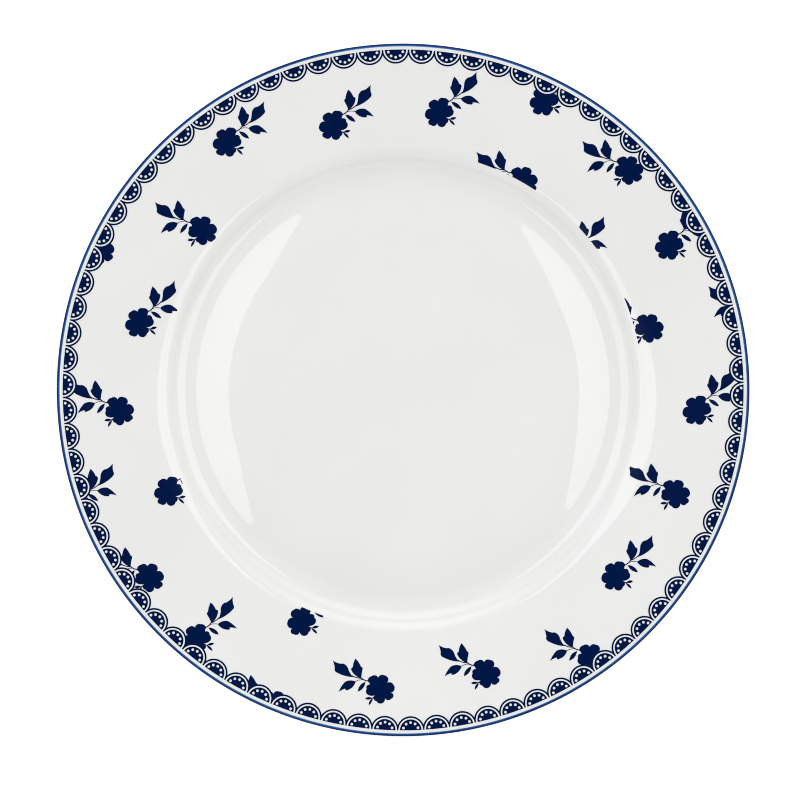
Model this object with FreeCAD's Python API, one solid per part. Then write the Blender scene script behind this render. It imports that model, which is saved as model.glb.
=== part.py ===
import FreeCAD, Part

import math
import os

# A china dinner plate, lying on its foot ring. Millimetres, +Z up, and the origin is on the table
# under the middle of the plate.
#
# The fired clay body is one piece. Glaze covers all of it but the bearing edge of the foot, and the
# blue prints lie on the glaze of the rim: a line round the lip, a lace border, and flower sprigs.

# ---- driving dimensions ----
PLATE_RADIUS = 135.0  # to the outside of the blue line on the lip
GLAZE = 0.25  # thickness of the glaze
PRINT = 0.1  # thickness of the fired prints
FLOOR_TOP = 9.4  # height of the body at the middle of the well
FLOOR_RADIUS = 62.2  # the well is flat out to here
FLOOR_END = 80.1  # the well falls gently to here, into the trough at the foot of the wall
RIM_SLOPE = 7.0  # degrees above level
LIP_ROUND = 1.25  # radius of the body's rounded edge
WELL_EDGE = 96.6  # where the underside of the rim starts to turn down
FOOT_INNER = 82.3  # inner radius of the foot ring at the table, before its rounding
FOOT_ROUND = 0.6
FOOT_LEAN = 8.0  # degrees that the outside of the foot leans from upright
RECESS_TOP = 4.4  # height of the body's underside within the foot ring
RECESS_LEAN = 12.0  # degrees that the inside of the foot leans from upright
RECESS_ROUND = 1.4  # fillet between the foot ring and that underside
GLAZE_END = 0.7  # height on the foot where the glaze stops

# The prints, seen from above.
LINE_INNER = 133.85  # the line on the lip runs from here to the edge
LINE_SECTORS = 24
LACE_RADIUS = 132.6  # the lace stands on this circle
LACE_COUNT = 82
LACE_START = 3.48  # degrees from +X to the middle of one lace arch
MOON_RADIUS = 4.2  # solid half disc
ARCH_INNER = 4.8  # outline round the half disc
ARCH_OUTER = 5.45
DOT_CIRCLE = 2.98  # white dots left open in the half disc
DOT_RADIUS = 0.53
DOT_ANGLES = (-72, -36, 0, 36, 72)  # degrees from the inward direction
SHEET_INNER = 93.4  # the flowered sheet was cut out along this circle

UP = FreeCAD.Vector(0, 0, 1)
ORIGIN = FreeCAD.Vector(0, 0, 0)


def sin(degrees):
    return math.sin(math.radians(degrees))


def cos(degrees):
    return math.cos(math.radians(degrees))


def polar(radius, degrees):
    return FreeCAD.Vector(radius * cos(degrees), radius * sin(degrees), 0)


# ---- the cross-section ----
# A path runs over the surface of the body with the clay on its right. "out" goes straight on to a
# radius, "up" goes straight on to a height, and "bend" turns on a radius to a new heading in
# degrees. Moved to its left by an offset, the same path is the surface of the glaze.

BODY_RADIUS = PLATE_RADIUS - PRINT - GLAZE

FACE = [
    ("out", FLOOR_RADIUS),
    ("bend", 52.9, -7.5),  # the floor domes over and falls towards the wall
    ("bend", 202.0, -10),
    ("out", FLOOR_END),
    ("bend", 11.0, 0),  # a shallow trough
    ("bend", 22.0, 8),
    ("bend", 8.7, 48),  # the wall, steepest half way up
    ("bend", 8.75, 9),  # over the shoulder
    ("bend", 240.0, RIM_SLOPE),
    ("out", BODY_RADIUS - LIP_ROUND * (1 + sin(RIM_SLOPE))),
    ("bend", LIP_ROUND, RIM_SLOPE - 178.2),  # round the lip, to an underside that thickens inward
]
SHOULDER = 7  # the move over the shoulder, where the rim begins

BACK = [
    ("out", WELL_EDGE),
    ("bend", 4.9, -132),  # down the outside of the well
    ("bend", 12.8, -165),
    ("bend", 2.0, -90 - FOOT_LEAN),  # into the side of the foot
    ("up", GLAZE_END),
]
FOOT = [
    ("up", FOOT_ROUND * (1 - sin(FOOT_LEAN))),
    ("bend", FOOT_ROUND, -180),
    ("out", FOOT_INNER + FOOT_ROUND),
    ("bend", FOOT_ROUND, RECESS_LEAN - 270),
    ("up", GLAZE_END),
]
RECESS = [
    ("up", RECESS_TOP - RECESS_ROUND * (1 - sin(RECESS_LEAN))),
    ("bend", RECESS_ROUND, -180),
    ("out", 0.0),
]


def walk(start, heading, moves):
    """Every step of a path: what it is, where it starts and ends, and its centre if it bends."""
    x, z = start
    steps = []
    for kind, value, *turn in moves:
        begin = (x, z, heading)
        centre = None
        if kind == "out":
            z += (value - x) * sin(heading) / cos(heading)
            x = value
        elif kind == "up":
            x += (value - z) * cos(heading) / sin(heading)
            z = value
        else:
            side = 1 if turn[0] > heading else -1
            centre = (x - side * value * sin(heading), z + side * value * cos(heading))
            heading = turn[0]
            x = centre[0] + side * value * sin(heading)
            z = centre[1] - side * value * cos(heading)
        steps.append((begin, (x, z, heading), centre, value))
    return steps


def beside(place, offset):
    x, z, heading = place
    return FreeCAD.Vector(x - offset * sin(heading), 0, z + offset * cos(heading))


def edges_of(steps, offset):
    edges = []
    for begin, end, centre, radius in steps:
        a = beside(begin, offset)
        b = beside(end, offset)
        if centre is None:
            edges.append(Part.makeLine(a, b))
            continue
        middle = (begin[2] + end[2]) / 2
        side = 1 if end[2] > begin[2] else -1
        x = centre[0] + side * radius * sin(middle)
        z = centre[1] - side * radius * cos(middle)
        edges.append(Part.Arc(a, beside((x, z, middle), offset), b).toShape())
    return edges


def turned(edges):
    """The solid that a closed outline sweeps, once round the plate's axis."""
    face = Part.Face(Part.Wire(Part.__sortEdges__(edges)))
    solid = face.revolve(ORIGIN, UP, 360)
    return Part.Solid(solid) if solid.ShapeType == "Shell" else solid


def coat(steps, inside, outside):
    """The layer between two offsets of a path."""
    first = steps[0][0]
    last = steps[-1][1]
    edges = edges_of(steps, inside) + edges_of(steps, outside)
    for place in (first, last):
        edges.append(Part.makeLine(beside(place, inside), beside(place, outside)))
    return turned(edges)


WHOLE = walk((0.0, FLOOR_TOP), 0.0, FACE + BACK)
FOOT_AT = WHOLE[-1][1]


def body_steps():
    return WHOLE + walk(FOOT_AT[:2], FOOT_AT[2], FOOT + RECESS)


def china_body():
    steps = body_steps()
    bottom = beside(steps[-1][1], 0)
    edges = edges_of(steps, 0)
    edges.append(Part.makeLine(bottom, FreeCAD.Vector(0, 0, FLOOR_TOP)))
    return turned(edges)


def glaze_face_and_back():
    """From the middle of the well, over the lip, and down the outside of the foot."""
    return coat(WHOLE, 0, GLAZE)


def glaze_foot_recess():
    """Within the foot ring, from its bearing edge to the middle."""
    return coat(body_steps()[-len(RECESS):], 0, GLAZE)


def print_coat():
    """A layer of print over the whole rim, from the top of the wall to round the lip."""
    return coat(WHOLE[SHOULDER:len(FACE)], GLAZE, GLAZE + PRINT)


# ---- flat outlines ----


def arcs(points):
    """A closed outline from points that are in turn a corner and a place on the arc after it."""
    vectors = [FreeCAD.Vector(x, y, 0) for x, y in points]
    edges = []
    for i in range(0, len(vectors), 2):
        end = vectors[(i + 2) % len(vectors)]
        edges.append(Part.Arc(vectors[i], vectors[i + 1], end).toShape())
    return Part.Face(Part.Wire(edges))


def ribbon(start, via, end, width):
    """A narrow stalk along an arc."""
    path = [FreeCAD.Vector(x, y, 0) for x, y in (start, via, end)]
    centre = Part.Arc(*path).toShape().Curve.Center
    sides = []
    for way in (-1, 1):
        sides.append([p + (p - centre).normalize() * (way * width / 2) for p in path])
    a, b = sides
    edges = [
        Part.Arc(*a).toShape(),
        Part.makeLine(a[2], b[2]),
        Part.Arc(b[2], b[1], b[0]).toShape(),
        Part.makeLine(b[0], a[0]),
    ]
    return Part.Face(Part.Wire(edges))


def upright(face):
    """A flat outline drawn up through the whole height of the plate."""
    return face.extrude(FreeCAD.Vector(0, 0, 40))


def ring_face(outer, inner):
    return Part.makeFace([outer, inner], "Part::FaceMakerBullseye")


# ---- the line and the lace ----


def edge_line(layer):
    """The line covers the upper half of the rounded lip. It is joined from equal sectors."""
    widest = FreeCAD.Vector(0, 0, WHOLE[len(FACE) - 1][2][1])
    angle = 360 / LINE_SECTORS
    sector = Part.makeCylinder(PLATE_RADIUS + 1, 20, widest, UP, angle)
    stretch = sector.cut(Part.makeCylinder(LINE_INNER, 20, widest)).common(layer)
    stretches = []
    for i in range(LINE_SECTORS):
        copy = stretch.copy()
        copy.rotate(ORIGIN, UP, i * angle)
        stretches.append(copy)
    return stretches[0].multiFuse(stretches[1:])


def lace_arc(middle, radius, reach):
    """An arc about one arch's centre, from reach degrees before its middle to reach after it."""
    across = math.sqrt(radius ** 2 - (LACE_RADIUS * sin(reach)) ** 2)
    foot = LACE_RADIUS * cos(reach) - across
    ends = (polar(foot, middle - reach), polar(foot, middle + reach))
    return Part.Arc(ends[0], polar(LACE_RADIUS - radius, middle), ends[1]).toShape()


def base_reach(radius):
    """Degrees from an arch's middle to where its circle meets the circle that it stands on."""
    return 2 * math.degrees(math.asin(radius / (2 * LACE_RADIUS)))


def standing_arc(middle, radius):
    reach = base_reach(radius)
    ends = (polar(LACE_RADIUS, middle - reach), polar(LACE_RADIUS, middle + reach))
    return Part.Arc(ends[0], polar(LACE_RADIUS - radius, middle), ends[1]).toShape()


def base_arc(start, end):
    return Part.Arc(
        polar(LACE_RADIUS, start), polar(LACE_RADIUS, (start + end) / 2), polar(LACE_RADIUS, end)
    ).toShape()


def arch_middles():
    return [LACE_START + i * 360 / LACE_COUNT for i in range(LACE_COUNT)]


def scalloped_wire():
    """The wavy inner edge of the lace, one arc for each arch, meeting in cusps."""
    half = 180 / LACE_COUNT
    return Part.Wire([lace_arc(middle, ARCH_OUTER, half) for middle in arch_middles()])


def lace_arches(layer):
    """The outlines of all the arches, joined at their cusps into one band."""
    pitch = 360 / LACE_COUNT
    reach = base_reach(ARCH_INNER)
    edges = []
    for middle in arch_middles():
        edges.append(standing_arc(middle, ARCH_INNER))
        edges.append(base_arc(middle + reach, middle + pitch - reach))
    return upright(ring_face(Part.Wire(edges), scalloped_wire())).common(layer)


def half_moon():
    reach = base_reach(MOON_RADIUS)
    outline = Part.Wire([standing_arc(0, MOON_RADIUS), base_arc(reach, -reach)])
    face = Part.Face(outline)
    for angle in DOT_ANGLES:
        place = polar(LACE_RADIUS, 0) - polar(DOT_CIRCLE, angle)
        dot = Part.Face(Part.Wire(Part.makeCircle(DOT_RADIUS, place)))
        face = face.cut(dot)
    return face


def lace_half_moons(layer):
    """One half disc with its dots left open, and its copies round the rim."""
    moon = upright(half_moon()).common(layer)
    moons = []
    for middle in arch_middles():
        copy = moon.copy()
        copy.rotate(ORIGIN, UP, middle)
        moons += copy.Solids
    return Part.makeCompound(moons)


# ---- the flower sprigs ----
# One motif, in millimetres from the middle of its flower, with its leaves to the upper right.

FLOWER = [
    (-0.2, 4.35), (-1.4, 5.05), (-2.65, 4.6), (-3.75, 3.6), (-2.95, 1.5), (-4.4, 1.2),
    (-5.15, 0.0), (-5.05, -1.75), (-3.3, -2.65), (-4.0, -3.9), (-2.85, -4.85), (-1.75, -5.2),
    (-0.5, -3.85), (1.5, -5.6), (3.0, -4.15), (3.75, -3.4), (2.9, -1.85), (4.3, -1.65),
    (5.45, -0.95), (5.9, 0.1), (5.3, 1.45), (4.95, 2.55), (3.65, 2.7), (3.75, 3.6),
    (4.1, 4.15), (3.0, 5.5), (1.9, 5.65), (0.9, 5.7),
]
UPRIGHT_LEAF = [
    (6.2, 6.0), (5.5, 7.7), (4.55, 9.5), (4.7, 10.05), (5.0, 10.4), (5.35, 12.1),
    (6.15, 13.95), (7.35, 12.6), (8.1, 11.1), (8.65, 10.9), (8.95, 10.2), (8.3, 8.2),
]
LARGE_LEAF = [
    (9.05, 7.35), (9.75, 9.2), (10.0, 11.0), (10.35, 12.4), (11.2, 13.4), (11.75, 13.65),
    (12.2, 13.7), (13.6, 14.55), (14.85, 15.8), (14.75, 14.2), (14.9, 12.8), (15.2, 12.0),
    (14.9, 11.1), (12.5, 9.05),
]
SIDE_LEAF = [
    (8.65, 5.4), (10.4, 6.4), (12.65, 6.45), (14.5, 5.15), (16.1, 3.4), (14.6, 3.85),
    (13.2, 3.95), (13.3, 3.5), (13.1, 3.15), (11.1, 3.4),
]
SMALL_LEAF = [(5.0, 4.2), (7.2, 3.6), (8.9, 1.4), (6.7, 2.1)]
BUD_UPPER = [(4.4, -2.5), (5.6, -1.75), (6.95, -2.0), (5.8, -2.75)]
BUD_LOWER = [(4.1, -2.75), (5.6, -3.45), (6.3, -4.9), (5.0, -4.1)]
STALKS = [
    ((3.9, 4.3), (5.2, 5.0), (6.25, 6.4), 0.4),
    ((6.1, 6.05), (7.8, 6.75), (9.3, 8.0), 0.35),
    ((5.3, 5.2), (7.2, 5.6), (8.8, 5.4), 0.2),
    ((2.4, -1.8), (3.6, -2.45), (4.7, -2.65), 0.4),
]
MIRRORED_TURN = 17.5  # the mirrored motif is also turned this far, in degrees

# Where each sprig lies on the rim: x and y of its flower, and its turn in degrees. The sheet was
# laid by hand, so the sprigs wander a little from an even grid.
RIGHT_SPRIGS = [
    (13.8, 108.1, 0), (-27.5, 103.1, 0), (-68.9, 96.5, 0.5), (82.6, -72.6, 1),
    (-103.1, 26.1, 3), (114.2, -8.0, 1.5), (-80.7, -97.0, 2), (-39.9, -90.3, 1),
    (103.4, 56.3, 1), (-91.8, -39.6, 1), (54.6, 112.5, 0), (63.5, 51.9, 0), (-127.7, -44.8, 1),
]
LEFT_SPRIGS = [
    (32.6, -110.4, -1), (-8.7, -116.4, -1), (73.7, -104.4, -1.5), (106.4, -40.4, -1.5),
    (-110.3, -8.0, -1.5), (-78.0, 62.3, -1), (88.2, 85.7, -2.5), (-98.6, -73.0, -1.5),
    (96.2, 24.2, -1.5), (47.1, 81.6, -2), (-117.9, 54.7, -3), (-49.5, -122.7, -1),
    (137.5, 29.4, -1.5),
]


def motif():
    outlines = [FLOWER, UPRIGHT_LEAF, LARGE_LEAF, SIDE_LEAF, SMALL_LEAF, BUD_UPPER, BUD_LOWER]
    pieces = [upright(arcs(outline)) for outline in outlines]
    pieces += [upright(ribbon(*stalk)) for stalk in STALKS]
    return pieces[0].multiFuse(pieces[1:]).removeSplitter()


def mirrored_motif():
    shape = motif().mirror(ORIGIN, FreeCAD.Vector(1, 0, 0))
    shape.rotate(ORIGIN, UP, MIRRORED_TURN)
    return shape


def sprigs(layer):
    """Each sprig shows only outside the sheet's cut circle, and where it is clear of the lace."""
    cut_circle = Part.Wire(Part.makeCircle(SHEET_INNER))
    field = upright(ring_face(scalloped_wire(), cut_circle)).common(layer)
    shapes = []
    for pattern, places in ((motif(), RIGHT_SPRIGS), (mirrored_motif(), LEFT_SPRIGS)):
        for x, y, turn in places:
            sprig = pattern.copy()
            sprig.rotate(ORIGIN, UP, turn)
            sprig.translate(FreeCAD.Vector(x, y, 0))
            shapes.append(sprig.common(field))
    return shapes


# ---- every piece of the plate, and its file ----


def main():
    os.makedirs("parts", exist_ok=True)
    layer = print_coat()
    nodes = {
        "china_body": china_body(),
        "glaze_face_and_back": glaze_face_and_back(),
        "glaze_foot_recess": glaze_foot_recess(),
        "edge_line": edge_line(layer),
        "lace_arches": lace_arches(layer),
        "lace_half_moons": lace_half_moons(layer),
    }
    for number, shape in enumerate(sprigs(layer), 1):
        nodes[f"flower_sprig_{number:02d}"] = shape
    for name, shape in nodes.items():
        shape.exportStep(f"parts/{name}.step")
        print(name, shape.ShapeType, len(shape.Solids), shape.isValid(), round(shape.Volume, 2))


main()
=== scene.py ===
import math

import bpy
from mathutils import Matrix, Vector
from mathutils.geometry import delaunay_2d_cdt

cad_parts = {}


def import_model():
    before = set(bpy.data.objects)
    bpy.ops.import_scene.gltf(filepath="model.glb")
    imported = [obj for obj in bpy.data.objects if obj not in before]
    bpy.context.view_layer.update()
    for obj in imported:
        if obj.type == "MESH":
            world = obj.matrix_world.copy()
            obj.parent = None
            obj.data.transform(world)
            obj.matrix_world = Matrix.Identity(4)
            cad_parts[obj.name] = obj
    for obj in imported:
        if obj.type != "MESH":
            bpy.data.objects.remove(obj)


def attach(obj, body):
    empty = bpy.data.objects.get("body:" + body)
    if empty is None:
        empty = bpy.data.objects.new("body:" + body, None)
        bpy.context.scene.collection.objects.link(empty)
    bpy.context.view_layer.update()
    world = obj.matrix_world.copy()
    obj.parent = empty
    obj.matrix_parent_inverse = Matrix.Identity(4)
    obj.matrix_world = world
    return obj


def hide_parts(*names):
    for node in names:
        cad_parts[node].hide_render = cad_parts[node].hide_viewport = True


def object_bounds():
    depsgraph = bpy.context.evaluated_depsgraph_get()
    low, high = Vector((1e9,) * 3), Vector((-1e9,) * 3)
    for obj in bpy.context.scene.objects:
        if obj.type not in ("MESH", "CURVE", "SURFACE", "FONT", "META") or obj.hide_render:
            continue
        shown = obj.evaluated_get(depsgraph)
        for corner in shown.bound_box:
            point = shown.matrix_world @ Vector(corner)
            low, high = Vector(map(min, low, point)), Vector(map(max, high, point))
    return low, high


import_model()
cad_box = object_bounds()

# A glazed china dinner plate with blue prints, lying on a pale floor. Every surface is built again
# from the plate's own section and outlines, finer than the CAD nodes that it stands for, with
# normals worked out from the section so that the glaze mirrors the lamps cleanly.

MM = 0.001  # the section and the outlines are in millimetres

# ---- sizes, the same as in the CAD source ----
PLATE_RADIUS = 135.0  # to the outside of the blue line on the lip
GLAZE = 0.25  # thickness of the glaze
PRINT = 0.1  # thickness of the fired prints
BODY_RADIUS = PLATE_RADIUS - PRINT - GLAZE
FLOOR_TOP = 9.4  # height of the clay at the middle of the well
FLOOR_RADIUS = 62.2  # the well is flat out to here
FLOOR_END = 80.1  # and falls gently to here, into the trough at the foot of the wall
RIM_SLOPE = 7.0  # degrees above level
LIP_ROUND = 1.25
WELL_EDGE = 96.6  # where the underside of the rim starts to turn down
FOOT_INNER = 82.3
FOOT_ROUND = 0.6
FOOT_LEAN = 8.0  # degrees from upright
RECESS_LEAN = 12.0
RECESS_TOP = 4.4  # height of the clay's underside within the foot ring
RECESS_ROUND = 1.4
GLAZE_END = 0.7  # height on the foot where the glaze stops

LINE_INNER = 133.85  # the line on the lip runs from here to the edge
LACE_RADIUS = 132.6  # the lace stands on this circle
LACE_COUNT = 82
LACE_START = 3.48  # degrees from +X to the middle of one arch
MOON_RADIUS = 4.2  # solid half disc
ARCH_INNER = 4.8  # outline round the half disc
ARCH_OUTER = 5.45
DOT_CIRCLE = 2.98  # the open dots of a half disc lie on this circle
DOT_RADIUS = 0.53
DOT_ANGLES = (-72, -36, 0, 36, 72)  # degrees from the inward direction
SHEET_INNER = 93.4  # the flowered sheet was cut out along this circle
CUT_REACH = 12.0  # degrees of that circle on each side of a sprig, more than any sprig takes up
LACE_NEAR = 1.0  # a sprig that comes this near to the lace may meet it

# ---- fineness of the meshes ----
AROUND = 360  # steps once round the plate
BEND_STEP = 3.0  # degrees between the rows of a bend in the section
HIDDEN_STEP = 12.0  # the same, where another layer covers it
ARC_STEP = 6.0  # degrees between the points of a printed arc
DOT_STEPS = 36  # steps round an open dot
CUT_STEP = 0.25  # degrees between the points of the sheet's cut
DRAPE_GRID = 1.2  # millimetres between the points inside a print, so that it follows the rim
MERGE = 0.0001  # printed points closer than this are one


def sin(degrees):
    return math.sin(math.radians(degrees))


def cos(degrees):
    return math.cos(math.radians(degrees))


def polar(radius, degrees):
    return Vector((radius * cos(degrees), radius * sin(degrees)))


# ---- the section ----
# A path runs over the clay with the clay on its right: "out" to a radius, "up" to a height, or
# "bend" on a radius to a new heading in degrees. An offset to its left gives the glaze's surface.

FACE = [
    ("out", FLOOR_RADIUS),
    ("bend", 52.9, -7.5),
    ("bend", 202.0, -10),
    ("out", FLOOR_END),
    ("bend", 11.0, 0),
    ("bend", 22.0, 8),
    ("bend", 8.7, 48),
    ("bend", 8.75, 9),
    ("bend", 240.0, RIM_SLOPE),
    ("out", BODY_RADIUS - LIP_ROUND * (1 + sin(RIM_SLOPE))),
    ("bend", LIP_ROUND, RIM_SLOPE - 178.2),
]
BACK = [
    ("out", WELL_EDGE),
    ("bend", 4.9, -132),
    ("bend", 12.8, -165),
    ("bend", 2.0, -90 - FOOT_LEAN),
    ("up", GLAZE_END),
]
FOOT = [
    ("up", FOOT_ROUND * (1 - sin(FOOT_LEAN))),
    ("bend", FOOT_ROUND, -180),
    ("out", FOOT_INNER + FOOT_ROUND),
    ("bend", FOOT_ROUND, RECESS_LEAN - 270),
    ("up", GLAZE_END),
]
RECESS = [
    ("up", RECESS_TOP - RECESS_ROUND * (1 - sin(RECESS_LEAN))),
    ("bend", RECESS_ROUND, -180),
    ("out", 0.0),
]


def walk(moves, start=(0.0, FLOOR_TOP, 0.0)):
    """Every step of a path as its start and end (radius, height, heading), its centre and its radius."""
    x, z, heading = start
    steps = []
    for kind, value, *turn in moves:
        begin = (x, z, heading)
        centre = None
        if kind == "out":
            z += (value - x) * sin(heading) / cos(heading)
            x = value
        elif kind == "up":
            x += (value - z) * cos(heading) / sin(heading)
            z = value
        else:
            side = 1 if turn[0] > heading else -1
            centre = (x - side * value * sin(heading), z + side * value * cos(heading))
            heading = turn[0]
            x = centre[0] + side * value * sin(heading)
            z = centre[1] - side * value * cos(heading)
        steps.append((begin, (x, z, heading), centre, value))
    return steps


def beside(place, offset):
    """A place moved to the left of its heading."""
    x, z, heading = place
    return (x - offset * sin(heading), z + offset * cos(heading), heading)


def rows(step, offset, fineness=BEND_STEP):
    """The points of one step, moved to its left, with the heading at each."""
    begin, end, centre, radius = step
    if centre is None:
        return [beside(begin, offset), beside(end, offset)]
    count = max(2, math.ceil(abs(end[2] - begin[2]) / fineness))
    side = 1 if end[2] > begin[2] else -1
    points = []
    for i in range(count + 1):
        heading = begin[2] + (end[2] - begin[2]) * i / count
        x = centre[0] + side * radius * sin(heading)
        z = centre[1] - side * radius * cos(heading)
        points.append(beside((x, z, heading), offset))
    return points


def backwards(run):
    return [(x, z, heading + 180) for x, z, heading in reversed(run)]


def straight(a, b):
    """A run from one point to another, with the heading that it has."""
    heading = math.degrees(math.atan2(b[1] - a[1], b[0] - a[0]))
    return [(a[0], a[1], heading), (b[0], b[1], heading)]


SURFACE = walk(FACE + BACK)
UNDERSIDE = walk(FOOT + RECESS, SURFACE[-1][1])
LIP = SURFACE[len(FACE) - 1]


def coat(steps, inside, outside):
    """The closed outline of the layer between two offsets of a path."""
    upper = [rows(step, outside) for step in steps]
    lower = [backwards(rows(step, inside, HIDDEN_STEP)) for step in reversed(steps)]
    end = straight(upper[-1][-1], lower[0][0])
    start = straight(lower[-1][-1], upper[0][0])
    return upper + [end] + lower + [start]


# ---- meshes ----


def new_piece(name, verts, faces, normals, material, slot, nodes):
    """A piece from its points, faces and the normal at each corner of each face."""
    mesh = bpy.data.meshes.new(name)
    mesh.from_pydata([Vector(v) * MM for v in verts], [], faces)
    mesh.polygons.foreach_set("use_smooth", [True] * len(mesh.polygons))
    mesh.normals_split_custom_set(normals)
    mesh.materials.append(material)
    piece = bpy.data.objects.new(name, mesh)
    bpy.context.collection.objects.link(piece)
    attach(piece, "root")
    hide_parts(*nodes)


def lathe(outline):
    """Turns a closed outline, with the solid on the right of its way round, about the plate's axis."""
    verts, faces, normals = [], [], []
    rings = {}

    def ring(x, z):
        key = (round(x, 5), round(z, 5))
        if key not in rings:
            rings[key] = len(verts)
            count = 1 if key[0] == 0 else AROUND
            for i in range(count):
                across = polar(key[0], i * 360 / AROUND)
                verts.append((across.x, across.y, z))
        return rings[key], key[0] > 0

    for run in outline:
        for a, b in zip(run, run[1:]):
            (first, wide_a), (second, wide_b) = ring(a[0], a[1]), ring(b[0], b[1])
            if first == second or not (wide_a or wide_b):
                continue
            for i in range(AROUND):
                j = (i + 1) % AROUND
                corners = [(first + i, a, i), (second + i, b, i)]
                corners += [(second + j, b, i + 1), (first + j, a, i + 1)]
                if not wide_a:
                    corners = [(first, a, i)] + corners[1:3]
                if not wide_b:
                    corners = [corners[0], (second, b, i), corners[3]]
                faces.append([corner[0] for corner in corners])
                for _, place, turn in corners:
                    across = polar(-sin(place[2]), turn * 360 / AROUND)
                    normals.append((across.x, across.y, cos(place[2])))
    return verts, faces, normals


def height_at(radius, offset):
    """The height of the face at a radius, and the heading there, on the surface with that offset."""
    for begin, end, centre, bend in SURFACE[:len(FACE) - 1]:
        if radius <= beside(end, offset)[0]:
            break
    if centre is None:
        x, z, heading = beside(begin, offset)
        return z + (radius - x) * sin(heading) / cos(heading), heading
    side = 1 if end[2] > begin[2] else -1
    bent = bend - side * offset
    heading = math.degrees(math.asin(max(-1.0, min(1.0, (radius - centre[0]) / (side * bent)))))
    return centre[1] - side * bent * cos(heading), heading


def on_face(point, offset):
    """A flat point laid on the face, and the heading of the section there."""
    height, heading = height_at(point.length, offset)
    return (point.x, point.y, height), heading


def drape(loops, lines, keep):
    """A print of even thickness over the rim, from flat closed loops that may overlap. Open lines
    divide it, and of the pieces that they leave only those that keep() accepts are printed."""
    flat, edges, outlines = [], [], []
    for loop in loops:
        outlines.append(list(range(len(flat), len(flat) + len(loop))))
        flat += anticlockwise(loop)
    for line in lines:
        edges += [(len(flat) + i, len(flat) + i + 1) for i in range(len(line) - 1)]
        flat += line
    flat += inner_points(flat)
    whole = 0  # triangles fill all that the points span, and say which loops own them
    points, _, triangles, _, _, owners = delaunay_2d_cdt(flat, edges, outlines, whole, MERGE)
    kept = []
    for triangle, owner in zip(triangles, owners):
        middle = (points[triangle[0]] + points[triangle[1]] + points[triangle[2]]) / 3
        if owner and keep(middle):
            kept.append(triangle)
    return thicken(points, kept)


def anticlockwise(loop):
    area = sum(a.x * b.y - b.x * a.y for a, b in zip(loop, loop[1:] + loop[:1]))
    return loop if area > 0 else loop[::-1]


def inner_points(flat):
    """Staggered rows of points across a small print. The arches, which go all round, need none."""
    low_x, high_x = min(p.x for p in flat), max(p.x for p in flat)
    low_y, high_y = min(p.y for p in flat), max(p.y for p in flat)
    if high_x - low_x > PLATE_RADIUS:
        return []
    points = []
    for row in range(int((high_y - low_y) / DRAPE_GRID)):
        for column in range(int((high_x - low_x) / DRAPE_GRID)):
            shift = 0.75 if row % 2 else 0.25
            points.append(Vector((low_x + (column + shift) * DRAPE_GRID, low_y + (row + 0.5) * DRAPE_GRID)))
    return points


def thicken(points, triangles):
    """Flat triangles laid on the glaze as a closed layer: its top, its underside and its edge."""
    verts, faces, normals = [], [], []
    places = {}
    for triangle in triangles:
        for i in triangle:
            if i not in places:
                top, heading = on_face(points[i], GLAZE + PRINT)
                bottom, _ = on_face(points[i], GLAZE)
                out = points[i].normalized() * -sin(heading)
                places[i] = (len(verts), (out.x, out.y, cos(heading)))
                verts += [top, bottom]
    borders = set()
    for triangle in triangles:
        faces.append([places[i][0] for i in triangle])
        normals += [places[i][1] for i in triangle]
        faces.append([places[i][0] + 1 for i in reversed(triangle)])
        normals += [tuple(-n for n in places[i][1]) for i in reversed(triangle)]
        for a, b in zip(triangle, triangle[1:] + triangle[:1]):
            if (b, a) in borders:
                borders.remove((b, a))
            else:
                borders.add((a, b))
    for a, b in sorted(borders):
        along = points[b] - points[a]
        outward = Vector((along.y, -along.x)).normalized()
        faces.append([places[b][0], places[a][0], places[a][0] + 1, places[b][0] + 1])
        normals += [(outward.x, outward.y, 0.0)] * 4
    return verts, faces, normals


# ---- flat outlines ----


def arc(start, via, end):
    """Points along the arc through three places, without its end."""
    a, b, c = Vector(start), Vector(via), Vector(end)
    ab, ac = b - a, c - a
    cross = 2 * (ab.x * ac.y - ab.y * ac.x)
    to_centre = Vector((ac.y * ab.length_squared - ab.y * ac.length_squared,
                        ab.x * ac.length_squared - ac.x * ab.length_squared)) / cross
    centre = a + to_centre
    radius = to_centre.length
    first = math.atan2(-to_centre.y, -to_centre.x)
    last = math.atan2(c.y - centre.y, c.x - centre.x)
    sweep = (last - first) % math.tau
    if cross < 0:
        sweep -= math.tau
    count = max(2, math.ceil(abs(math.degrees(sweep)) / ARC_STEP))
    angles = [first + sweep * i / count for i in range(count)]
    return [centre + Vector((math.cos(t), math.sin(t))) * radius for t in angles]


def arcs(points):
    """A closed loop from points that are in turn a corner and a place on the arc after it."""
    loop = []
    for i in range(0, len(points), 2):
        loop += arc(points[i], points[i + 1], points[(i + 2) % len(points)])
    return loop


def ribbon(start, via, end, width):
    """A narrow stalk along an arc."""
    path = arc(start, via, end) + [Vector(end)]
    one_side, other_side = [], []
    for i, point in enumerate(path):
        along = (path[min(i + 1, len(path) - 1)] - path[max(i - 1, 0)]).normalized()
        across = Vector((-along.y, along.x)) * width / 2
        one_side.append(point - across)
        other_side.append(point + across)
    return one_side + other_side[::-1]


def dot(centre):
    return [centre + polar(DOT_RADIUS, i * 360 / DOT_STEPS) for i in range(DOT_STEPS)]


def base_reach(radius):
    """Degrees along the base circle from the middle of an arch to its foot."""
    return 2 * math.degrees(math.asin(radius / (2 * LACE_RADIUS)))


def standing_arc(middle, radius):
    """A half circle that stands on the base circle and bulges inwards."""
    reach = base_reach(radius)
    ends = (polar(LACE_RADIUS, middle - reach), polar(LACE_RADIUS, middle + reach))
    return arc(ends[0], polar(LACE_RADIUS - radius, middle), ends[1])


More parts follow.
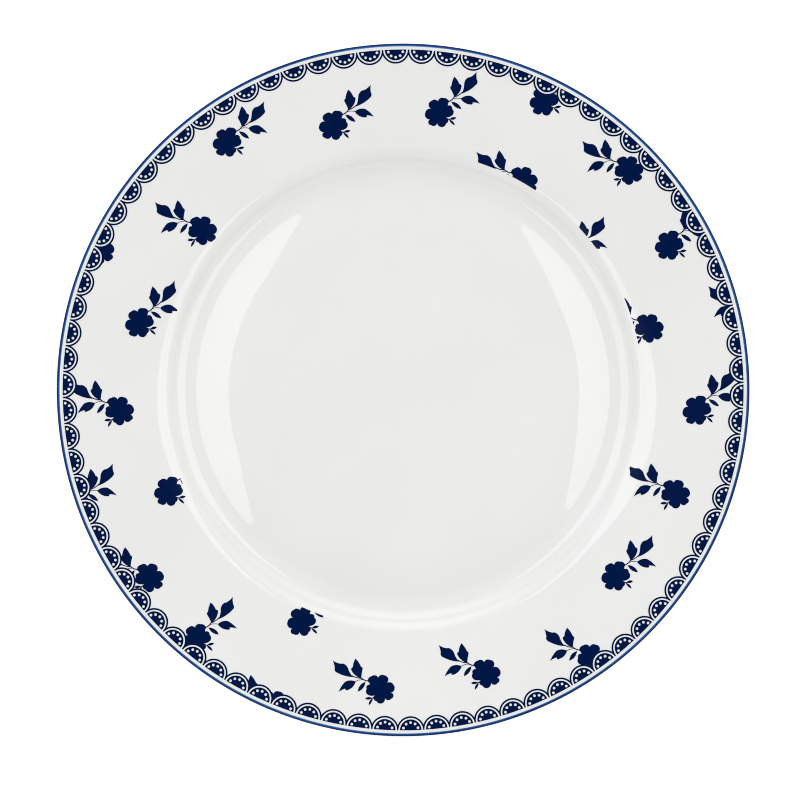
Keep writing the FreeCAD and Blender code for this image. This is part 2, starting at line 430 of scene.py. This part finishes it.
def base_arc(start, end):
    """Along the base circle, from one angle to another."""
    return arc(polar(LACE_RADIUS, start), polar(LACE_RADIUS, (start + end) / 2), polar(LACE_RADIUS, end))


def arch_middle(number):
    return LACE_START + number * 360 / LACE_COUNT


def arch_middles():
    return [arch_middle(number) for number in range(LACE_COUNT)]


def cusp_arc(middle):
    """One arc of the lace's wavy inner edge, from cusp to cusp."""
    half = 180 / LACE_COUNT
    cusp = LACE_RADIUS * cos(half) - math.sqrt(ARCH_OUTER ** 2 - (LACE_RADIUS * sin(half)) ** 2)
    ends = (polar(cusp, middle - half), polar(cusp, middle + half))
    return arc(ends[0], polar(LACE_RADIUS - ARCH_OUTER, middle), ends[1])


def cusp_line(middle):
    """The same arc with its end."""
    return cusp_arc(middle) + cusp_arc(middle + 360 / LACE_COUNT)[:1]


def arches_loops():
    """The outlines' two edges, right round: the hollows with the base between them, and the cusps."""
    outer, inner = [], []
    reach = base_reach(ARCH_INNER)
    for middle in arch_middles():
        outer += standing_arc(middle, ARCH_INNER)
        outer += base_arc(middle + reach, middle + 360 / LACE_COUNT - reach)
        inner += cusp_arc(middle)
    return outer, inner


def nearest_arch(point):
    """The number of the arch whose middle is nearest, and the distance to its centre."""
    angle = math.degrees(math.atan2(point.y, point.x))
    number = round((angle - LACE_START) * LACE_COUNT / 360)
    return number, (point - polar(LACE_RADIUS, arch_middle(number))).length


# ---- the printed motif ----
# Outlines in turn a corner and a place on the arc after it, measured from the middle of the flower.

FLOWER = [
    (-0.2, 4.35), (-1.4, 5.05), (-2.65, 4.6), (-3.75, 3.6), (-2.95, 1.5), (-4.4, 1.2),
    (-5.15, 0.0), (-5.05, -1.75), (-3.3, -2.65), (-4.0, -3.9), (-2.85, -4.85), (-1.75, -5.2),
    (-0.5, -3.85), (1.5, -5.6), (3.0, -4.15), (3.75, -3.4), (2.9, -1.85), (4.3, -1.65),
    (5.45, -0.95), (5.9, 0.1), (5.3, 1.45), (4.95, 2.55), (3.65, 2.7), (3.75, 3.6),
    (4.1, 4.15), (3.0, 5.5), (1.9, 5.65), (0.9, 5.7),
]
UPRIGHT_LEAF = [
    (6.2, 6.0), (5.5, 7.7), (4.55, 9.5), (4.7, 10.05), (5.0, 10.4), (5.35, 12.1),
    (6.15, 13.95), (7.35, 12.6), (8.1, 11.1), (8.65, 10.9), (8.95, 10.2), (8.3, 8.2),
]
LARGE_LEAF = [
    (9.05, 7.35), (9.75, 9.2), (10.0, 11.0), (10.35, 12.4), (11.2, 13.4), (11.75, 13.65),
    (12.2, 13.7), (13.6, 14.55), (14.85, 15.8), (14.75, 14.2), (14.9, 12.8), (15.2, 12.0),
    (14.9, 11.1), (12.5, 9.05),
]
SIDE_LEAF = [
    (8.65, 5.4), (10.4, 6.4), (12.65, 6.45), (14.5, 5.15), (16.1, 3.4), (14.6, 3.85),
    (13.2, 3.95), (13.3, 3.5), (13.1, 3.15), (11.1, 3.4),
]
SMALL_LEAF = [(5.0, 4.2), (7.2, 3.6), (8.9, 1.4), (6.7, 2.1)]
BUD_UPPER = [(4.4, -2.5), (5.6, -1.75), (6.95, -2.0), (5.8, -2.75)]
BUD_LOWER = [(4.1, -2.75), (5.6, -3.45), (6.3, -4.9), (5.0, -4.1)]
STALKS = [  # start, a place on the way, end and width
    ((3.9, 4.3), (5.2, 5.0), (6.25, 6.4), 0.4),
    ((6.1, 6.05), (7.8, 6.75), (9.3, 8.0), 0.35),
    ((5.3, 5.2), (7.2, 5.6), (8.8, 5.4), 0.2),
    ((2.4, -1.8), (3.6, -2.45), (4.7, -2.65), 0.4),
]
MIRRORED_TURN = 17.5  # degrees that the mirrored motif is turned

# Where the middle of each flower lies, and how many degrees its motif is turned.
RIGHT_SPRIGS = [
    (13.8, 108.1, 0), (-27.5, 103.1, 0), (-68.9, 96.5, 0.5), (82.6, -72.6, 1),
    (-103.1, 26.1, 3), (114.2, -8.0, 1.5), (-80.7, -97.0, 2), (-39.9, -90.3, 1),
    (103.4, 56.3, 1), (-91.8, -39.6, 1), (54.6, 112.5, 0), (63.5, 51.9, 0), (-127.7, -44.8, 1),
]
LEFT_SPRIGS = [
    (32.6, -110.4, -1), (-8.7, -116.4, -1), (73.7, -104.4, -1.5), (106.4, -40.4, -1.5),
    (-110.3, -8.0, -1.5), (-78.0, 62.3, -1), (88.2, 85.7, -2.5), (-98.6, -73.0, -1.5),
    (96.2, 24.2, -1.5), (47.1, 81.6, -2), (-117.9, 54.7, -3), (-49.5, -122.7, -1),
    (137.5, 29.4, -1.5),
]


def turned(points, degrees):
    """Points turned anticlockwise about the origin."""
    c, s = cos(degrees), sin(degrees)
    return [Vector((p.x * c - p.y * s, p.x * s + p.y * c)) for p in points]


def motif():
    """The sprig that leans right, as closed loops."""
    outlines = [FLOWER, UPRIGHT_LEAF, LARGE_LEAF, SIDE_LEAF, SMALL_LEAF, BUD_UPPER, BUD_LOWER]
    return [arcs(outline) for outline in outlines] + [ribbon(*stalk) for stalk in STALKS]


def mirrored_motif():
    mirrored = [[Vector((-p.x, p.y)) for p in loop] for loop in motif()]
    return [turned(loop, MIRRORED_TURN) for loop in mirrored]


def sprig(loops, x, y, turn):
    """One sprig where it shows: outside the sheet's cut circle and clear of the lace."""
    placed = [[p + Vector((x, y)) for p in turned(loop, turn)] for loop in loops]
    everything = [p for loop in placed for p in loop]
    lines = []
    if min(p.length for p in everything) < SHEET_INNER:
        lines.append(cut_line(everything))
    if max(p.length for p in everything) > LACE_RADIUS - ARCH_OUTER - LACE_NEAR:
        near = {nearest_arch(p)[0] + step for p in everything for step in (-1, 0, 1)}
        lines += [cusp_line(arch_middle(number)) for number in sorted(near)]
    return drape(placed, lines, shows)


def cut_line(points):
    """The stretch of the cut circle that passes through a sprig, and a little more at each end."""
    middle = Vector((0, 0))
    for p in points:
        middle += p
    centre = math.degrees(math.atan2(middle.y, middle.x))
    reach = round(CUT_REACH / CUT_STEP)
    return [polar(SHEET_INNER, centre + i * CUT_STEP) for i in range(-reach, reach + 1)]


def shows(point):
    """Whether a print is there: on the sheet, within the lace, and outside every arch."""
    return SHEET_INNER < point.length < LACE_RADIUS and nearest_arch(point)[1] > ARCH_OUTER


# ---- materials ----


def new_material(name, roughness, specular=0.5):
    material = bpy.data.materials.new(name)
    material.use_nodes = True
    nodes, links = material.node_tree.nodes, material.node_tree.links
    shader = nodes["Principled BSDF"]
    shader.inputs["Roughness"].default_value = roughness
    shader.inputs["Specular IOR Level"].default_value = specular
    place = nodes.new("ShaderNodeTexCoord")
    return material, nodes, links, shader, place.outputs["Object"]


def noise(nodes, links, place, size, detail=2.0):
    """Noise whose lumps are about this many metres across."""
    texture = nodes.new("ShaderNodeTexNoise")
    texture.inputs["Scale"].default_value = 1 / size
    texture.inputs["Detail"].default_value = detail
    links.new(place, texture.inputs["Vector"])
    return texture.outputs["Fac"]


def ramp(nodes, links, value, stops):
    """A colour from a value, through (position, colour) stops."""
    node = nodes.new("ShaderNodeValToRGB")
    elements = node.color_ramp.elements
    while len(elements) < len(stops):
        elements.new(0.5)
    for element, (position, colour) in zip(elements, stops):
        element.position = position
        element.color = (*colour, 1.0)
    links.new(value, node.inputs["Fac"])
    return node.outputs["Color"]


def bump(nodes, links, shader, height, distance, normal=None):
    """Relief this many metres deep, on its own or over another relief."""
    node = nodes.new("ShaderNodeBump")
    node.inputs["Distance"].default_value = distance
    node.inputs["Strength"].default_value = 1.0
    links.new(height, node.inputs["Height"])
    if normal is not None:
        links.new(normal, node.inputs["Normal"])
    links.new(node.outputs["Normal"], shader.inputs["Normal"])
    return node.outputs["Normal"]


def glaze_material():
    """Clear glaze on white china: a hard gloss with a faint orange peel and cloudiness."""
    material, nodes, links, shader, place = new_material("clear_glaze", 0.02)
    cloud = noise(nodes, links, place, 0.035, 3.0)
    colour = ramp(nodes, links, cloud, [(0.3, (0.749, 0.749, 0.741)), (0.7, (0.769, 0.769, 0.762))])
    links.new(colour, shader.inputs["Base Color"])
    peel = bump(nodes, links, shader, noise(nodes, links, place, 0.006), 0.000006)
    bump(nodes, links, shader, noise(nodes, links, place, 0.0016), 0.0000006, normal=peel)
    return material


def print_material():
    """Fired cobalt transfer: nearly black blue, a little thinner in places."""
    material, nodes, links, shader, place = new_material("cobalt_print", 0.12, 0.05)
    density = noise(nodes, links, place, 0.0012, 4.0)
    colour = ramp(nodes, links, density, [(0.3, (0.0, 0.0066, 0.045)), (0.75, (0.0002, 0.0086, 0.059))])
    links.new(colour, shader.inputs["Base Color"])
    bump(nodes, links, shader, noise(nodes, links, place, 0.0008, 4.0), 0.000004)
    return material


def line_material():
    """The hand-laid line on the lip: dark navy of its own, with a painted highlight that makes it paler
    towards its inner edge.
    """
    material, nodes, links, shader, place = new_material("edge_blue", 0.12, 0.06)
    across = nodes.new("ShaderNodeVectorMath")
    across.operation = "MULTIPLY"
    across.inputs[1].default_value = (1.0, 1.0, 0.0)
    links.new(place, across.inputs[0])
    radius = nodes.new("ShaderNodeVectorMath")
    radius.operation = "LENGTH"
    links.new(across.outputs["Vector"], radius.inputs[0])
    span = nodes.new("ShaderNodeMapRange")
    span.inputs["From Min"].default_value = LINE_INNER * MM
    span.inputs["From Max"].default_value = PLATE_RADIUS * MM
    links.new(radius.outputs["Value"], span.inputs["Value"])
    waver = nodes.new("ShaderNodeMix")
    waver.inputs["Factor"].default_value = 0.25
    links.new(span.outputs["Result"], waver.inputs["A"])
    links.new(noise(nodes, links, place, 0.05, 6.0), waver.inputs["B"])
    # painted highlight: pale blue at the line's inner edge, going outwards to the line's own dark navy
    stops = [
        (0.1, (0.075, 0.22, 0.53)), (0.35, (0.010, 0.070, 0.255)),
        (0.6, (0.001, 0.022, 0.115)), (0.9, (0.0, 0.0030, 0.035)),
    ]
    links.new(ramp(nodes, links, waver.outputs["Result"], stops), shader.inputs["Base Color"])
    bump(nodes, links, shader, noise(nodes, links, place, 0.001, 4.0), 0.000004)
    return material


def biscuit_material():
    """Bare fired clay on the foot's bearing edge: matt, grained and a little scuffed."""
    material, nodes, links, shader, place = new_material("fired_china", 0.72, 0.3)
    stops = [(0.25, (0.52, 0.49, 0.44)), (0.5, (0.68, 0.66, 0.61)), (0.8, (0.74, 0.72, 0.68))]
    colour = ramp(nodes, links, noise(nodes, links, place, 0.0025, 6.0), stops)
    links.new(colour, shader.inputs["Base Color"])
    grain = bump(nodes, links, shader, noise(nodes, links, place, 0.0004, 5.0), 0.00005)
    bump(nodes, links, shader, noise(nodes, links, place, 0.003, 2.0), 0.00008, normal=grain)
    return material


# ---- the plate ----


def plate():
    """Every piece of the plate, each in the place of its own CAD node."""
    glaze, blue, line, clay = glaze_material(), print_material(), line_material(), biscuit_material()

    body = [rows(step, 0, HIDDEN_STEP) for step in SURFACE] + [rows(step, 0) for step in UNDERSIDE]
    axis = [straight(body[-1][-1], body[0][0])]
    new_piece("clay_body", *lathe(body + axis), clay, "fired_china", ["china_body"])
    new_piece("glaze_over", *lathe(coat(SURFACE, 0, GLAZE)), glaze, "clear_glaze", ["glaze_face_and_back"])
    recess = coat(UNDERSIDE[len(FOOT):], 0, GLAZE)
    new_piece("glaze_under", *lathe(recess), glaze, "clear_glaze", ["glaze_foot_recess"])

    new_piece("lip_line", *lathe(lip_line()), line, "edge_blue", ["edge_line"])
    outer, inner = arches_loops()
    arches = drape([outer], [inner + inner[:1]], lambda p: nearest_arch(p)[1] < ARCH_OUTER)
    new_piece("lace_outlines", *arches, blue, "cobalt_print", ["lace_arches"])
    new_piece("lace_moons", *half_moons(), blue, "cobalt_print", ["lace_half_moons"])

    placed = [(motif(), at) for at in RIGHT_SPRIGS] + [(mirrored_motif(), at) for at in LEFT_SPRIGS]
    for number, (loops, at) in enumerate(placed, 1):
        name = f"sprig_{number:02d}"
        new_piece(name, *sprig(loops, *at), blue, "cobalt_print", ["flower_" + name])


def lip_line():
    """The line's section: from its inner edge, over the lip to its widest, on both offsets."""
    centre, radius = LIP[2], LIP[3]
    curves = []
    for offset in (GLAZE, GLAZE + PRINT):
        start = math.degrees(math.asin((centre[0] - LINE_INNER) / (radius + offset)))
        begin = (centre[0] - radius * sin(start), centre[1] + radius * cos(start), start)
        end = (centre[0] + radius, centre[1], -90.0)
        curves.append(rows((begin, end, centre, radius), offset))
    lower, upper = backwards(curves[0]), curves[1]
    return [upper, straight(upper[-1], lower[0]), lower, straight(lower[-1], upper[0])]


def half_moons():
    """One half disc with its dots open, turned to every arch."""
    reach = base_reach(MOON_RADIUS)
    outline = standing_arc(0, MOON_RADIUS) + base_arc(reach, -reach)
    centres = [polar(LACE_RADIUS, 0) - polar(DOT_CIRCLE, angle) for angle in DOT_ANGLES]
    lines = [dot(centre) + dot(centre)[:1] for centre in centres]
    open_radius = 0.99 * DOT_RADIUS  # the middle of every triangle inside a dot is nearer than this

    def solid(point):
        return min((point - centre).length for centre in centres) > open_radius

    verts, faces, normals = drape([outline], lines, solid)
    all_verts, all_faces, all_normals = [], [], []
    for middle in arch_middles():
        c, s = cos(middle), sin(middle)
        first = len(all_verts)
        all_verts += [(x * c - y * s, x * s + y * c, z) for x, y, z in verts]
        all_normals += [(x * c - y * s, x * s + y * c, z) for x, y, z in normals]
        all_faces += [[first + i for i in face] for face in faces]
    return all_verts, all_faces, all_normals


# ---- the studio ----
# Two oblong soft boxes hang left and right of the plate, well above it, and a wide soft glow lies
# beyond its top. The room is pale at the sides and dim overhead. Places and sizes of the boxes are
# shares of their height.

FLOOR_HALF = 60.0
LAMP_HEIGHT = 12.0
BOX_SIZE = (1.3, 1.15)
BOX_RADIANCE = 2.05
RIGHT_BOX = (0.284, 9.0)  # where its inner edge crosses the X axis, and its turn in degrees
LEFT_BOX = (-0.255, -9.0)
OVERHEAD = 0.08  # how bright the room is straight above the plate
AROUND_PLATE = 1.0  # and at its sides
ROOM_FADE = (0.9, 0.3)  # cosines of the angles from straight up between which that changes
GLOW = 1.25
GLOW_TO = (0.04, 0.85, 0.54)  # towards the soft lamp
GLOW_EDGE = 0.85  # cosine of the angle from its middle at which it ends
PAPER = 0.9  # how white the floor is
PAPER_GLOW = 0.36
PAPER_BOUNCE = 0.8  # how white it is to every other ray
SENSOR = 36.0  # the camera's, in its usual millimetres
CAMERA_HEIGHT = 3.5  # above the lip
VIEW_WIDTH = 0.3116  # how much the camera sees across, at the lip's height
AIM = (-0.00122, -0.00393)  # the middle of the view


def soft_box(name, inner_edge, turn):
    """A lamp over the right of the plate, or over its left where the inner edge is negative."""
    lamp = bpy.data.lights.new(name, "AREA")
    lamp.shape = "RECTANGLE"
    lamp.size, lamp.size_y = (share * LAMP_HEIGHT for share in BOX_SIZE)
    lamp.energy = BOX_RADIANCE * math.pi * lamp.size * lamp.size_y
    holder = bpy.data.objects.new(name, lamp)
    middle = polar(inner_edge + math.copysign(BOX_SIZE[0] / 2 / cos(turn), inner_edge), 0)
    holder.location = (*(middle * LAMP_HEIGHT), LAMP_HEIGHT)
    holder.rotation_euler.z = math.radians(turn)
    holder.visible_camera = False
    bpy.context.collection.objects.link(holder)


def fade(nodes, links, value, start, end, low, high):
    """A smooth change from one level to another as a value goes from start to end."""
    node = nodes.new("ShaderNodeMapRange")
    node.interpolation_type = "SMOOTHSTEP"
    for name, number in (("From Min", start), ("From Max", end), ("To Min", low), ("To Max", high)):
        node.inputs[name].default_value = number
    links.new(value, node.inputs["Value"])
    return node.outputs["Result"]


def towards(nodes, links, direction):
    """The cosine of the angle between a ray and a direction."""
    place = nodes.new("ShaderNodeTexCoord")
    node = nodes.new("ShaderNodeVectorMath")
    node.operation = "DOT_PRODUCT"
    node.inputs[1].default_value = Vector(direction).normalized()
    links.new(place.outputs["Generated"], node.inputs[0])
    return node.outputs["Value"]


def world():
    """A room that is bright at its sides, with a soft glow on one. The camera sees it plain white."""
    sky = bpy.data.worlds.new("studio")
    bpy.context.scene.world = sky
    sky.use_nodes = True
    nodes, links = sky.node_tree.nodes, sky.node_tree.links
    room = fade(nodes, links, towards(nodes, links, (0, 0, 1)), *ROOM_FADE, OVERHEAD, AROUND_PLATE)
    glow = fade(nodes, links, towards(nodes, links, GLOW_TO), GLOW_EDGE, 1.0, 0.0, GLOW)
    both = nodes.new("ShaderNodeMath")
    links.new(room, both.inputs[0])
    links.new(glow, both.inputs[1])
    ray = nodes.new("ShaderNodeLightPath")
    seen = nodes.new("ShaderNodeMix")
    seen.inputs["B"].default_value = 1.0
    links.new(ray.outputs["Is Camera Ray"], seen.inputs["Factor"])
    links.new(both.outputs["Value"], seen.inputs["A"])
    background = nodes["Background"]
    background.inputs["Color"].default_value = (1.0, 1.0, 1.0, 1.0)
    links.new(seen.outputs["Result"], background.inputs["Strength"])


def bounce_less(material, shader):
    """The paper glows white to the camera only, and throws less light back up at the plate's edge."""
    nodes, links = material.node_tree.nodes, material.node_tree.links
    dim = nodes.new("ShaderNodeBsdfDiffuse")
    dim.inputs["Color"].default_value = (PAPER_BOUNCE, PAPER_BOUNCE, PAPER_BOUNCE, 1.0)
    ray = nodes.new("ShaderNodeLightPath")
    mix = nodes.new("ShaderNodeMixShader")
    links.new(ray.outputs["Is Camera Ray"], mix.inputs["Fac"])
    links.new(dim.outputs["BSDF"], mix.inputs[1])
    links.new(shader.outputs["BSDF"], mix.inputs[2])
    links.new(mix.outputs["Shader"], nodes["Material Output"].inputs["Surface"])


def floor():
    mesh = bpy.data.meshes.new("floor")
    h = FLOOR_HALF
    mesh.from_pydata([(-h, -h, 0), (h, -h, 0), (h, h, 0), (-h, h, 0)], [], [(0, 1, 2, 3)])
    material = bpy.data.materials.new("floor_paper")
    material.use_nodes = True
    shader = material.node_tree.nodes["Principled BSDF"]
    shader.inputs["Base Color"].default_value = (PAPER, PAPER, PAPER, 1.0)
    shader.inputs["Roughness"].default_value = 0.9
    shader.inputs["Emission Color"].default_value = (1.0, 1.0, 1.0, 1.0)
    shader.inputs["Emission Strength"].default_value = PAPER_GLOW
    bounce_less(material, shader)
    mesh.materials.append(material)
    paper = bpy.data.objects.new("floor", mesh)
    bpy.context.collection.objects.link(paper)


def camera():
    lens = bpy.data.cameras.new("camera")
    lens.sensor_width = SENSOR
    lens.lens = SENSOR * CAMERA_HEIGHT / VIEW_WIDTH
    eye = bpy.data.objects.new("camera", lens)
    eye.location = (*AIM, cad_box[1][2] + CAMERA_HEIGHT)
    bpy.context.collection.objects.link(eye)
    bpy.context.scene.camera = eye


plate()
floor()
world()
soft_box("soft_box_right", *RIGHT_BOX)
soft_box("soft_box_left", *LEFT_BOX)
camera()
bpy.context.scene.view_settings.view_transform = "Standard"
bpy.context.scene.cycles.filter_width = 1.0  # pixels, so that the fine prints stay crisp
